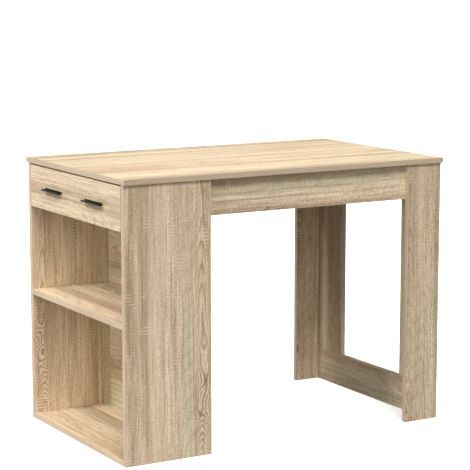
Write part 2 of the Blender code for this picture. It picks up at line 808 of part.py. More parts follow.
def build_runners(slide, panels, boards):
    """A cabinet rail and a drawer rail on each side, with their rollers and screws."""
    length = RAIL_RIGHT - RAIL_LEFT
    start = Matrix.Translation((RAIL_LEFT, 0.0, 0.0))
    screw_places = {"near": RAIL_LEFT + RAIL_SCREW_INSET, "far": RAIL_RIGHT - RAIL_SCREW_INSET}
    for word, side in DESK_SIDES.items():
        name = "cabinet_rail_" + word
        mesh = extruded_mesh(name, cabinet_rail_outline(side), length)
        cabinet_rail = add_part(name, mesh, "white_rail", start)
        name = "drawer_rail_" + word
        mesh = extruded_mesh(name, drawer_rail_outline(side), length)
        drawer_rail = add_part(name, mesh, "white_rail", start)
        add_roller(
            "cabinet_" + word,
            cabinet_rail,
            (FRONT_AXLE_X, side * CABINET_WEB_Y, HIGH_AXLE_Z),
            (0.0, -side, 0.0),
        )
        add_roller(
            "drawer_" + word,
            drawer_rail,
            (REAR_AXLE_X, side * DRAWER_WEB_Y, LOW_AXLE_Z),
            (0.0, side, 0.0),
            slide,
        )
        for end, x in screw_places.items():
            add_countersunk(
                "cabinet_rail_screw_" + word + "_" + end,
                (cabinet_rail, panels[word]),
                (x, side * CABINET_WEB_Y, (FLOOR_TRACK + CHANNEL_ROOF) / 2),
                (0.0, side, 0.0),
                WOOD_SCREW_LENGTH,
            )
            add_pan_screw(
                "drawer_rail_screw_" + word + "_" + end,
                (drawer_rail, boards[word]),
                (x, side * (BOX_OUTER_Y - DRAWER_FLANGE / 2), BOX_BOTTOM - 2 * JOINT_GAP - RAIL_SHEET),
                (0.0, 0.0, 1.0),
                GROOVE_LIFT - 2 * JOINT_GAP,
                WOOD_SCREW_SHANK_RADIUS,
                slide,
            )
        hold(drawer_rail, slide)


def add_slide_empty():
    """The empty that carries the drawer; its X axis is the drawer's slide."""
    empty = bpy.data.objects.new("drawer_slide", None)
    empty.location = (LEFT, 0.0, BOX_BOTTOM)
    PARTS.objects.link(empty)
    bpy.context.view_layer.update()
    return empty


def main():
    """Build the whole desk."""
    global PARTS, CUTTERS
    clear_scene()
    PARTS = new_collection("side_drawer_desk")
    CUTTERS = new_collection("cutters")
    top = build_top()
    panels = build_cabinet()
    side_boards = build_leg()
    build_aprons()
    build_cam_fittings(top, panels, side_boards)
    slide = add_slide_empty()
    boards = build_drawer_box(slide)
    build_handles(slide, boards["face"])
    build_end_screws(slide, boards)
    build_runners(slide, panels, boards)


main()
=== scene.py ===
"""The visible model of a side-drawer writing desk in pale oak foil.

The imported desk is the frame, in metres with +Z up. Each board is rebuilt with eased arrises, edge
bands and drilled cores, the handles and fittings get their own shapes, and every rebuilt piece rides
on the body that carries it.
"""

import logging
import math
from dataclasses import dataclass
from enum import Enum

import bmesh
import bpy
from mathutils import Matrix, Vector


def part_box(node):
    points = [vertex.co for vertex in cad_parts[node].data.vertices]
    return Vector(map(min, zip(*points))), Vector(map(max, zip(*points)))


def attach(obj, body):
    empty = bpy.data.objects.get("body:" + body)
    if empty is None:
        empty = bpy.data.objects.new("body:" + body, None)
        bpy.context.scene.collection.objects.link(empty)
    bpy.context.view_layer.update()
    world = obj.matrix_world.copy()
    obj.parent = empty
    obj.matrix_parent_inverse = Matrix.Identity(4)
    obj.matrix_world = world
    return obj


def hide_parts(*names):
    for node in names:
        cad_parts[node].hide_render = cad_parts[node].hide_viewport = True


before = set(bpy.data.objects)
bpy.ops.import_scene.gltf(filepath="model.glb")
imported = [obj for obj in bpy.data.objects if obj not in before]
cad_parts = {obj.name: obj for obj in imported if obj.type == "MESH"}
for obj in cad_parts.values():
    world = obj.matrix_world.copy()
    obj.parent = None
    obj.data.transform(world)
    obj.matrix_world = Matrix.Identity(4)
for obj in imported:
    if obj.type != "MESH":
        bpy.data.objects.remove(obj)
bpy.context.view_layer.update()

LOG = logging.getLogger("desk")

Colour = tuple[float, float, float]
Stops = tuple[tuple[float, float], ...]
Socket = bpy.types.NodeSocket

WELD = 0.000004
SAME_PLACE = 0.000001
COPLANAR = math.radians(0.5)
FACING = 0.99
FLAT = 0.999
WHITE = (1.0, 1.0, 1.0, 1.0)


class Axis(Enum):
    """One of the desk's three directions."""

    X = 0
    Y = 1
    Z = 2

    @property
    def unit(self) -> Vector:
        """The unit vector along this direction."""
        return Vector([float(axis is self) for axis in Axis])

    @property
    def following(self) -> "Axis":
        """The next direction in turn."""
        return Axis((self.value + 1) % len(Axis))

    def laid_with(self, across: "Axis") -> Colour:
        """Give the rotation that lays a pattern's X along this direction and its Y across."""
        rows = (self.unit, across.unit, self.unit.cross(across.unit))
        return tuple(Matrix(rows).to_euler())


class Body(Enum):
    """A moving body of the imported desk."""

    DESK = "desk"
    DRAWER = "drawer"
    ROLLER_CABINET_FRONT = "roller_cabinet_front"
    ROLLER_CABINET_BACK = "roller_cabinet_back"
    ROLLER_DRAWER_FRONT = "roller_drawer_front"
    ROLLER_DRAWER_BACK = "roller_drawer_back"


class Slot(Enum):
    """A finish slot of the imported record."""

    OAK_FOIL = "oak_foil"
    BLACK_METAL = "black_metal"
    WHITE_RAIL = "white_rail"
    ROLLER_PLASTIC = "roller_plastic"
    ZINC = "zinc"


class Head(Enum):
    """The shape of a screw's head."""

    COUNTERSUNK = "countersunk"
    PAN = "pan"


# ---- node graphs ----


class Graph:
    """Adds and joins nodes in one node tree."""

    def __init__(self, tree: bpy.types.NodeTree) -> None:
        """Work on a node tree."""
        self.tree = tree

    def feed(self, socket: Socket, value: object) -> None:
        """Link a socket to an output, or set it to a plain value.

        Args:
            socket: The input to feed.
            value: An output socket or a plain value.
        """
        if isinstance(value, Socket):
            self.tree.links.new(value, socket)
        else:
            socket.default_value = value

    def node(self, kind: str, inputs: dict | None = None, **settings: object) -> bpy.types.Node:
        """Add a node.

        Args:
            kind: The node's type name.
            inputs: Values or output sockets by input name or number.
            **settings: The node's own properties.

        Returns:
            The new node.
        """
        made = self.tree.nodes.new(kind)
        for key, value in settings.items():
            setattr(made, key, value)
        for key, value in (inputs or {}).items():
            self.feed(made.inputs[key], value)
        return made

    def math(self, operation: str, *values: object, clamp: bool = False) -> Socket:
        """Add a Math node.

        Args:
            operation: The Math operation.
            *values: Its operands, numbers or output sockets.
            clamp: Whether the result is kept from 0 to 1.

        Returns:
            The result socket.
        """
        inputs = dict(enumerate(values))
        return self.node("ShaderNodeMath", inputs, operation=operation, use_clamp=clamp).outputs[0]

    def times(self, value: object, factor: object) -> Socket:
        """Multiply two values."""
        return self.math("MULTIPLY", value, factor)

    def added(self, value: object, factor: object, base: object) -> Socket:
        """Multiply a value by a factor and add it to a base."""
        return self.math("MULTIPLY_ADD", value, factor, base)

    def centred(self, value: Socket) -> Socket:
        """Move a value from 0 to 1 so that it swings about 0."""
        return self.math("SUBTRACT", value, 0.5)

    def wrapped(self, value: Socket, period: float) -> Socket:
        """Repeat a value with a period, centred on 0."""
        return self.math("WRAP", value, period / 2, -period / 2)

    def ramp(self, value: Socket, stops: Stops) -> Socket:
        """Map a value through a smooth ramp of greys.

        Args:
            value: The value socket.
            stops: Pairs of a position and a grey level.

        Returns:
            The mapped socket.
        """
        made = self.node("ShaderNodeValToRGB", {0: value})
        made.color_ramp.interpolation = "EASE"
        elements = made.color_ramp.elements
        while len(elements) < len(stops):
            elements.new(1.0)
        for element, (position, level) in zip(elements, stops):
            element.position = position
            element.color = (level, level, level, 1.0)
        return made.outputs[0]

    def mix(self, factor: object, first: object, second: object, blend: str = "MIX") -> Socket:
        """Mix two colours.

        Args:
            factor: How much of the second.
            first: A colour or socket.
            second: A colour or socket.
            blend: The blend mode.

        Returns:
            The mixed colour socket.
        """
        made = self.node("ShaderNodeMix", data_type="RGBA", blend_type=blend)
        for index, value in ((0, factor), (6, first), (7, second)):
            self.feed(made.inputs[index], (*value, 1.0) if isinstance(value, tuple) else value)
        return made.outputs[2]

    def shade(self, colour: object, by: object) -> Socket:
        """Multiply a colour by a grey socket or by one number."""
        return self.mix(1.0, colour, (by,) * 3 if isinstance(by, float) else by, "MULTIPLY")

    def mapped(self, value: Socket, *ends: float) -> Socket:
        """Map a range of a value onto another range.

        Args:
            value: The value socket.
            *ends: The range's two ends, then what each becomes.

        Returns:
            The mapped socket.
        """
        return self.node("ShaderNodeMapRange", {0: value, **dict(enumerate(ends, 1))}).outputs[0]

    def bump(self, height: Socket, distance: float) -> Socket:
        """Turn a height, whose 1 is a distance in metres, into a normal."""
        return self.node("ShaderNodeBump", {"Height": height, "Distance": distance}).outputs[0]

    def laid(self, along: Axis, across: Axis, shift: Colour = (0.0, 0.0, 0.0)) -> Socket:
        """Lay a pattern on the piece's own coordinates.

        Args:
            along: The direction for the pattern's X.
            across: The direction for its Y.
            shift: A move of the whole pattern, in metres.

        Returns:
            The vector socket.
        """
        place = self.node("ShaderNodeTexCoord").outputs["Object"]
        inputs = {"Vector": place, "Location": shift, "Rotation": along.laid_with(across)}
        return self.node("ShaderNodeMapping", inputs).outputs[0]


@dataclass(frozen=True)
class Layer:
    """One noise of a pattern: repeats to the metre along and across, octaves, and a ramp to cut it."""

    along: float
    across: float
    shift: float = 0.0
    detail: float = 2.0
    roughness: float = 0.5
    stops: Stops = ()

    def draw(self, graph: Graph, vector: Socket) -> Socket:
        """Draw the layer.

        Args:
            graph: The graph to add to.
            vector: The vector socket, with X along the grain.

        Returns:
            The layer's value socket.
        """
        inputs = {0: vector, 1: (self.along, self.across, self.across), 2: (self.shift,) * 3}
        place = graph.node("ShaderNodeVectorMath", inputs, operation="MULTIPLY_ADD").outputs[0]
        inputs = {"Vector": place, "Scale": 1.0, "Detail": self.detail, "Roughness": self.roughness}
        value = graph.node("ShaderNodeTexNoise", inputs).outputs[0]
        return graph.ramp(value, self.stops) if self.stops else value


def blank_material(name: str) -> tuple[bpy.types.Material, Graph, bpy.types.Node]:
    """Start a material with its Principled shader.

    Args:
        name: The material's name.

    Returns:
        The material, its graph and its shader.
    """
    material = bpy.data.materials.new(name)
    material.use_nodes = True
    return material, Graph(material.node_tree), material.node_tree.nodes["Principled BSDF"]


# ---- finishes ----


class Finish:
    """A finish whose material is made once, under its own name."""

    name: str

    def material(self) -> bpy.types.Material:
        """Give the finish's material."""
        return bpy.data.materials.get(self.name) or self._build()


@dataclass(frozen=True)
class OakTones:
    """The print's inks, from the palest wood to the darkest line."""

    pale: Colour = (0.745, 0.592, 0.408)
    pink: Colour = (0.668, 0.514, 0.356)
    green: Colour = (0.600, 0.522, 0.352)
    brown: Colour = (0.435, 0.316, 0.190)
    heart: Colour = (0.310, 0.208, 0.116)
    line: Colour = (0.300, 0.200, 0.115)


@dataclass(eq=False)
class OakFigure:
    """The printed oak figure: bands, growth rings, heart arches, fibres, pores and saw marks."""

    tones: OakTones = OakTones()
    drift: float = 0.016
    wander: Layer = Layer(1.7, 7.0, detail=1.5)

    hue: Layer = Layer(0.5, 15.0, 7.7, 1.5, stops=((0.48, 0.0), (0.62, 1.0)))
    broad: Layer = Layer(0.45, 19.0, 1.9, 1.0)
    narrow: Layer = Layer(1.1, 62.0, 6.3, 3.0, 0.6)
    lively: Layer = Layer(0.5, 13.0, 8.6, 1.0, stops=((0.42, 0.30), (0.56, 1.0)))
    broad_share: float = 0.7
    narrow_share: float = 0.55
    band_level: float = 0.15
    light_stops: Stops = ((0.49, 0.0), (0.59, 1.0))
    light_strength: float = 0.95
    dark_stops: Stops = ((0.38, 1.0), (0.49, 0.0))
    dark_strength: float = 0.72

    ring_field: Layer = Layer(1.1, 8.0, 5.3, 0.8, 0.35)
    ring_patch: Layer = Layer(0.8, 12.0, 9.1, 1.0, stops=((0.50, 0.0), (0.58, 1.0)))
    ring_count: float = 24.0
    rings_to_metre: float = 8.0
    ring_fray: float = 0.5
    ring_stops: Stops = ((0.0, 0.10), (0.45, 0.0), (0.86, 1.0), (1.0, 0.12))
    ring_strength: float = 0.36

    arch_period: float = 0.340
    arch_spread: float = 5200.0
    arches_to_metre: float = 12.0
    arch_sway: Layer = Layer(5.0, 4.0, 8.2, 1.0)
    arch_sway_width: float = 0.020
    arch_crowding: Layer = Layer(4.0, 9.0, 3.7, 1.5)
    arch_crowding_count: float = 5.0
    arch_fray: float = 0.4
    arch_stops: Stops = ((0.0, 0.30), (0.14, 0.0), (0.50, 0.10), (0.92, 1.0), (1.0, 0.30))
    arch_half_width: tuple[float, float] = (0.018, 0.040)
    arch_strength: Layer = Layer(2.4, 5.0, 4.9, 1.0, stops=((0.36, 0.30), (0.56, 0.62)))
    heart_shade: float = 0.10
    curls: Layer = Layer(16.0, 26.0, 5.9, 1.0)
    curl_period: float = 1.200
    curl_half_length: tuple[float, float] = (0.04, 0.15)
    curl_count: float = 7.0
    curl_strength: float = 0.50

    lines: Layer = Layer(1.6, 90.0, 3.1, 3.0, stops=((0.58, 0.0), (0.70, 1.0)))
    line_strength: float = 0.42
    fibres: Layer = Layer(6.0, 210.0, 0.0, 4.0, 0.72)
    flecks: Layer = Layer(300.0, 160.0, 4.4, 2.0, 0.6)
    fleck_share: float = 0.40
    weave_stops: Stops = ((0.33, 0.0), (0.67, 1.0))
    calm_contrast: float = 0.6
    dark_fibre: Colour = (0.66, 0.59, 0.50)
    pale_fibre: Colour = (1.31, 1.36, 1.42)
    pores: Layer = Layer(55.0, 900.0, 0.0, 1.0, stops=((0.58, 0.0), (0.70, 1.0)))
    pore_strength: float = 0.40

    saw_pitch: float = 0.0046
    saw_distortion: float = 1.6
    saw_distortion_scale: float = 0.4
    saw_stops: Stops = ((0.45, 0.0), (0.95, 1.0))
    saw_patch: Layer = Layer(17.0, 38.0, 2.7, stops=((0.57, 0.0), (0.66, 1.0)))
    saw_strength: float = 0.65

    fibre_height: float = 0.6
    pore_height: float = -0.8
    saw_height: float = 0.25
    fibre_roughness: float = 0.16
    pore_roughness: float = 0.10
    base_roughness: float = 0.50

    def group(self) -> bpy.types.NodeTree:
        """Give the figure's node group, made once."""
        return bpy.data.node_groups.get("oak_figure") or self._build()

    def _drawn(self, layer: Layer, strength: float = 1.0) -> Socket:
        """Draw one layer on the drifting grain, at a strength."""
        value = layer.draw(self.graph, self.grain)
        return value if strength == 1.0 else self.graph.times(value, strength)

    def _build(self) -> bpy.types.NodeTree:
        """Build the node group, in grain space with X along the grain.

        Returns:
            The node group.
        """
        group = bpy.data.node_groups.new("oak_figure", "ShaderNodeTree")
        group.interface.new_socket("Vector", in_out="INPUT", socket_type="NodeSocketVector")
        for label, kind in (("Color", "Color"), ("Roughness", "Float"), ("Height", "Float")):
            group.interface.new_socket(label, in_out="OUTPUT", socket_type="NodeSocket" + kind)
        self.graph = graph = Graph(group)
        self.vector = vector = graph.node("NodeGroupInput").outputs[0]
        shove = graph.times(graph.centred(self.wander.draw(graph, vector)), self.drift)
        moved = graph.node("ShaderNodeCombineXYZ", {1: shove, 2: shove}).outputs[0]
        inputs = {0: vector, 1: moved}
        self.grain = graph.node("ShaderNodeVectorMath", inputs, operation="ADD").outputs[0]

        self.fibre = fibre = self._drawn(self.fibres)
        lively = self._drawn(self.lively)
        colour = self._bands(lively)
        colour = graph.mix(graph.times(self._rings(), self.ring_strength), colour, self.tones.brown)
        colour = graph.mix(self._arches(), colour, self.tones.heart)
        colour = graph.mix(self._drawn(self.lines, self.line_strength), colour, self.tones.line)
        colour = self._weave(colour, lively)
        pores = self._drawn(self.pores)
        colour = graph.mix(graph.times(pores, self.pore_strength), colour, self.tones.line)
        saw = self._saw_marks()
        colour = graph.mix(graph.times(saw, self.saw_strength), colour, self.tones.pale)

        height = graph.added(fibre, self.fibre_height, graph.times(pores, self.pore_height))
        height = graph.added(saw, self.saw_height, height)
        roughness = graph.added(fibre, self.fibre_roughness, self.base_roughness)
        roughness = graph.added(pores, self.pore_roughness, roughness)
        graph.node("NodeGroupOutput", {"Color": colour, "Roughness": roughness, "Height": height})
        return group

    def _bands(self, lively: Socket) -> Socket:
        """Lay the broad pink, green and pale bands.

        Args:
            lively: How lively the figure is, low in its calm bands.

        Returns:
            The colour socket.
        """
        graph = self.graph
        colour = graph.mix(self._drawn(self.hue), self.tones.pink, self.tones.green)
        broad = graph.added(self._drawn(self.broad), self.broad_share, self.band_level)
        streaks = graph.times(graph.centred(self._drawn(self.narrow)), lively)
        tone = graph.added(streaks, self.narrow_share, broad)
        light = graph.times(graph.ramp(tone, self.light_stops), self.light_strength)
        dark = graph.times(graph.ramp(tone, self.dark_stops), self.dark_strength)
        return graph.mix(dark, graph.mix(light, colour, self.tones.pale), self.tones.brown)

    def _weave(self, colour: Socket, lively: Socket) -> Socket:
        """Shade a colour with fibres and short flecks, less so in the calm bands.

        Args:
            colour: The colour below.
            lively: How lively the figure is.

        Returns:
            The shaded colour socket.
        """
        graph = self.graph
        weave = graph.times(self.fibre, 1.0 - self.fleck_share)
        weave = graph.added(self.flecks.draw(graph, self.vector), self.fleck_share, weave)
        tint = graph.mix(graph.ramp(weave, self.weave_stops), self.dark_fibre, self.pale_fibre)
        contrast = graph.added(lively, 1.0 - self.calm_contrast, self.calm_contrast)
        return graph.mix(contrast, colour, tint, "MULTIPLY")

    def _rings(self) -> Socket:
        """Draw growth rings in patches.

        Returns:
            The rings' strength socket.
        """
        graph = self.graph
        along = graph.node("ShaderNodeSeparateXYZ", {0: self.grain}).outputs[0]
        count = graph.times(along, self.rings_to_metre)
        count = graph.added(self._drawn(self.ring_field), self.ring_count, count)
        count = graph.added(self.fibre, self.ring_fray, count)
        ring = graph.ramp(graph.math("FRACT", count), self.ring_stops)
        return graph.times(ring, self._drawn(self.ring_patch))

    def _arches(self) -> Socket:
        """Draw strips of nested, curling arches, as where a plank is cut through its heart.

        Returns:
            The arches' strength socket.
        """
        graph = self.graph
        along, across, _ = graph.node("ShaderNodeSeparateXYZ", {0: self.grain}).outputs
        side = graph.wrapped(across, self.arch_period)
        side = graph.added(graph.centred(self._drawn(self.arch_sway)), self.arch_sway_width, side)
        count = graph.times(graph.times(side, side), self.arch_spread)
        count = graph.added(along, self.arches_to_metre, count)
        count = graph.added(self._drawn(self.arch_crowding), self.arch_crowding_count, count)
        place = graph.math("ABSOLUTE", graph.wrapped(along, self.curl_period))
        curl = graph.mapped(place, *self.curl_half_length, 1.0, 0.0)
        count = graph.added(graph.times(self._drawn(self.curls), curl), self.curl_count, count)
        count = graph.added(self.fibre, self.arch_fray, count)
        ring = graph.ramp(graph.math("FRACT", count), self.arch_stops)
        strength = graph.added(curl, self.curl_strength, self._drawn(self.arch_strength))
        drawn = graph.added(ring, strength, self.heart_shade)
        near = graph.mapped(graph.math("ABSOLUTE", side), *self.arch_half_width, 1.0, 0.0)
        return graph.math("MULTIPLY", drawn, near, clamp=True)

    def _saw_marks(self) -> Socket:
        """Draw the pale marks that a saw leaves across the grain, in patches.

        Returns:
            The marks' strength socket.
        """
        inputs = {
            "Vector": self.vector,
            "Scale": 1.0 / (self.saw_pitch * math.tau),
            "Distortion": self.saw_distortion,
            "Detail": 2.0,
            "Detail Scale": self.saw_distortion_scale,
        }
        wave = self.graph.node("ShaderNodeTexWave", inputs, bands_direction="X").outputs["Fac"]
        comb = self.graph.ramp(wave, self.saw_stops)
        return self.graph.times(comb, self.saw_patch.draw(self.graph, self.vector))


@dataclass(frozen=True)
class OakFoil(Finish):
    """Melamine foil with the oak figure, laid one way on one board."""

    board: str
    grain: Axis
    across: Axis
    shift: Colour
    # Below 1, tone darkens the whole foil as painted shade.
    tone: float = 1.0
    figure: OakFigure = OakFigure()
    relief: float = 0.00012
    specular: float = 0.28

    @property
    def name(self) -> str:
        """The foil's name, one for each board."""
        return "foil_" + self.board

    def _build(self) -> bpy.types.Material:
        """Build the foil.

        Returns:
            The material.
        """
        material, graph, shader = blank_material(self.name)
        figure = graph.node("ShaderNodeGroup", node_tree=self.figure.group())
        graph.feed(figure.inputs["Vector"], graph.laid(self.grain, self.across, self.shift))
        # The foil's colour is darkened by its tone here: painted shade.
        graph.feed(shader.inputs["Base Color"], graph.shade(figure.outputs["Color"], self.tone))
        graph.feed(shader.inputs["Roughness"], figure.outputs["Roughness"])
        graph.feed(shader.inputs["Normal"], graph.bump(figure.outputs["Height"], self.relief))
        shader.inputs["Specular IOR Level"].default_value = self.specular
        return material


@dataclass(frozen=True)
class EdgeBand(Finish):
    """The narrow plastic band on a board's edge, printed with plain straight grain."""

    run: Axis
    # Below 1, tone darkens the band as painted shade.
    tone: float = 1.0
    ground: Colour = (0.545, 0.422, 0.290)
    streak: Colour = (0.440, 0.326, 0.212)
    broad: Layer = Layer(3.0, 60.0, stops=((0.40, 0.0), (0.66, 1.0)))
    broad_strength: float = 0.55
    fine: Layer = Layer(9.0, 700.0, 0.0, 3.0, 0.6)
    fine_range: tuple[float, ...] = (0.25, 0.75, 0.86, 1.14)
    fine_roughness: float = 0.14
    base_roughness: float = 0.46
    relief: float = 0.00006
    specular: float = 0.3

    @property
    def name(self) -> str:
        """The band's name, one for each direction and tone."""
        return f"edge_band_{self.run.name.lower()}_{round(self.tone * 100)}"

    def _build(self) -> bpy.types.Material:
        """Build the band.

        Returns:
            The material.
        """
        material, graph, shader = blank_material(self.name)
        laid = graph.laid(self.run, self.run.following)
        streaks = graph.times(self.broad.draw(graph, laid), self.broad_strength)
        colour = graph.mix(streaks, self.ground, self.streak)
        fine = self.fine.draw(graph, laid)
        # The fine grain varies the band's colour, then its tone darkens it as painted shade.
        colour = graph.shade(graph.shade(colour, graph.mapped(fine, *self.fine_range)), self.tone)
        roughness = graph.added(fine, self.fine_roughness, self.base_roughness)
        graph.feed(shader.inputs["Base Color"], colour)
        graph.feed(shader.inputs["Roughness"], roughness)
        graph.feed(shader.inputs["Normal"], graph.bump(fine, self.relief))
        shader.inputs["Specular IOR Level"].default_value = self.specular
        return material


@dataclass(frozen=True)
class ChipCore(Finish):
    """Raw chipboard, bare inside drilled holes and grooves."""

    name: str = "chip_core"
    pale: Colour = (0.52, 0.37, 0.21)
    dark: Colour = (0.20, 0.12, 0.06)
    chips_to_metre: float = 900.0
    chip_roughness: float = 0.12
    base_roughness: float = 0.84
    relief: float = 0.0003

    def _build(self) -> bpy.types.Material:
        """Build the core from flat chips of mixed browns.

        Returns:
            The material.
        """
        material, graph, shader = blank_material(self.name)
        place = graph.node("ShaderNodeTexCoord").outputs["Object"]
        chips = graph.node("ShaderNodeTexVoronoi", {"Vector": place, "Scale": self.chips_to_metre})
        tone = graph.node("ShaderNodeSeparateColor", {0: chips.outputs["Color"]}).outputs[0]
        graph.feed(shader.inputs["Base Color"], graph.mix(tone, self.dark, self.pale))
        rough = graph.added(tone, self.chip_roughness, self.base_roughness)
        graph.feed(shader.inputs["Roughness"], rough)
        graph.feed(shader.inputs["Normal"], graph.bump(chips.outputs["Distance"], self.relief))
        return material


@dataclass(frozen=True)
class FleckedFinish(Finish):
    """A plain moulded, sprayed or plated finish with fine texture and slight unevenness."""

    name: str
    ground: Colour
    mottle: Colour
    roughness: float
    metallic: float = 0.0
    specular: float = 0.5
    coat: float = 0.0
    grain_to_metre: float = 1800.0
    relief: float = 0.00004
    stretch: float = 1.0
    mottle_layer: Layer = Layer(45.0, 45.0, detail=3.0, stops=((0.35, 0.0), (0.65, 1.0)))
    fine_range: tuple[float, ...] = (0.2, 0.8, 0.93, 1.07)
    mottle_roughness: float = 0.08
    fine_roughness: float = 0.10

    def _build(self) -> bpy.types.Material:
        """Build the finish from a broad mottle and a fine grain.

        Returns:
            The material.
        """
        material, graph, shader = blank_material(self.name)
        place = graph.node("ShaderNodeTexCoord").outputs["Object"]
        patch = self.mottle_layer.draw(graph, place)
        grain = Layer(self.grain_to_metre * self.stretch, self.grain_to_metre, roughness=0.6)
        fine = grain.draw(graph, place)
        colour = graph.mix(patch, self.ground, self.mottle)
        colour = graph.shade(colour, graph.mapped(fine, *self.fine_range))
        graph.feed(shader.inputs["Base Color"], colour)
        rough = graph.added(patch, self.mottle_roughness, self.roughness)
        rough = graph.added(fine, self.fine_roughness, rough)
        graph.feed(shader.inputs["Roughness"], rough)
        graph.feed(shader.inputs["Normal"], graph.bump(fine, self.relief))
        shader.inputs["Metallic"].default_value = self.metallic
        shader.inputs["Specular IOR Level"].default_value = self.specular
        shader.inputs["Coat Weight"].default_value = self.coat
        return material


POWDER_BLACK = FleckedFinish(
    "powder_black", (0.009, 0.007, 0.005), (0.014, 0.011, 0.008), 0.50, specular=0.16, relief=0.00005
)
EPOXY_WHITE = FleckedFinish(
    "epoxy_white", (0.78, 0.77, 0.74), (0.72, 0.71, 0.68), 0.30, coat=0.2, grain_to_metre=900.0
)
NYLON = FleckedFinish("nylon", (0.74, 0.73, 0.69), (0.66, 0.65, 0.61), 0.42, relief=0.00002)
ZINC = FleckedFinish(
    "zinc_plate",
    (0.56, 0.56, 0.54),
    (0.40, 0.41, 0.42),
    0.26,
    metallic=1.0,
    grain_to_metre=2600.0,
    stretch=0.3,
)
HARDBOARD = FleckedFinish(
    "hardboard",
    (0.60, 0.47, 0.32),
    (0.575, 0.448, 0.302),
    0.62,
    specular=0.3,
    grain_to_metre=420.0,
    relief=0.00006,
)


# ---- boards ----


def placed(name: str, data: bpy.types.ID) -> bpy.types.Object:
    """Put an object in the scene.

    Args:
        name: The object's name.
        data: Its mesh, light or camera.

    Returns:
        The new object.
    """
    made = bpy.data.objects.new(name, data)
    bpy.context.scene.collection.objects.link(made)
    return made


def linked(name: str, work: bmesh.types.BMesh) -> bpy.types.Object:
    """Turn a bmesh into an object of the scene.

    Args:
        name: The object's name.
        work: The finished shape, freed here.

    Returns:
        The new object.
    """
    mesh = bpy.data.meshes.new(name)
    work.to_mesh(mesh)
    work.free()
    return placed(name, mesh)


def link_piece(
    name: str, work: bmesh.types.BMesh, body: Body, slot: Slot, node: str, *finishes: Finish
) -> None:
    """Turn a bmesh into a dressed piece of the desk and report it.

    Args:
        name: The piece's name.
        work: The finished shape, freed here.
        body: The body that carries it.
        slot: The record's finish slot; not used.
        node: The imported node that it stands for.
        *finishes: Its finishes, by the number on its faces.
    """
    piece = linked(name, work)
    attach(piece, body.value)
    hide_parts(node)
    for finish in finishes:
        piece.data.materials.append(finish.material())
    LOG.info("%s on %s", name, body.value)


def merged_copy(node: str) -> bmesh.types.BMesh:
    """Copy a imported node's shape.

    Args:
        node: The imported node.

    Returns:
        A closed bmesh of few flat faces.
    """
    work = bmesh.new()
    work.from_mesh(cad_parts[node].data)
    bmesh.ops.remove_doubles(work, verts=work.verts, dist=WELD)
    bmesh.ops.dissolve_limit(
        work, angle_limit=COPLANAR, verts=work.verts, edges=work.edges, delimit=set()
    )
    return work


def ease(work: bmesh.types.BMesh, edges: list, width: float, segments: int, clamp: bool = False) -> None:
    """Round some edges.

    Args:
        work: The shape.
        edges: The edges.
        width: The rounding's width.
        segments: Faces across it.
        clamp: Whether roundings that meet are kept apart.
    """
    bmesh.ops.bevel(
        work,
        geom=edges,
        offset=width,
        affect="EDGES",
        segments=segments,
        profile=0.5,
        material=-1,
        clamp_overlap=clamp,
    )


def ease_corners(work: bmesh.types.BMesh, width: float, segments: int = 2, least: float = 30.0) -> None:
    """Round every edge that turns by more than some degrees.

    Args:
        work: The shape.
        width: The rounding's width.
        segments: Faces across it.
        least: The least turn, in degrees.
    """
    turn = math.radians(least)
    corners = [e for e in work.edges if len(e.link_faces) == 2 and e.calc_face_angle() > turn]
    ease(work, corners, width, segments, clamp=True)


def smooth_roundings(work: bmesh.types.BMesh) -> None:
    """Shade smooth every face that looks along none of the three directions."""
    for face in work.faces:
        face.smooth = max(abs(value) for value in face.normal) < FLAT


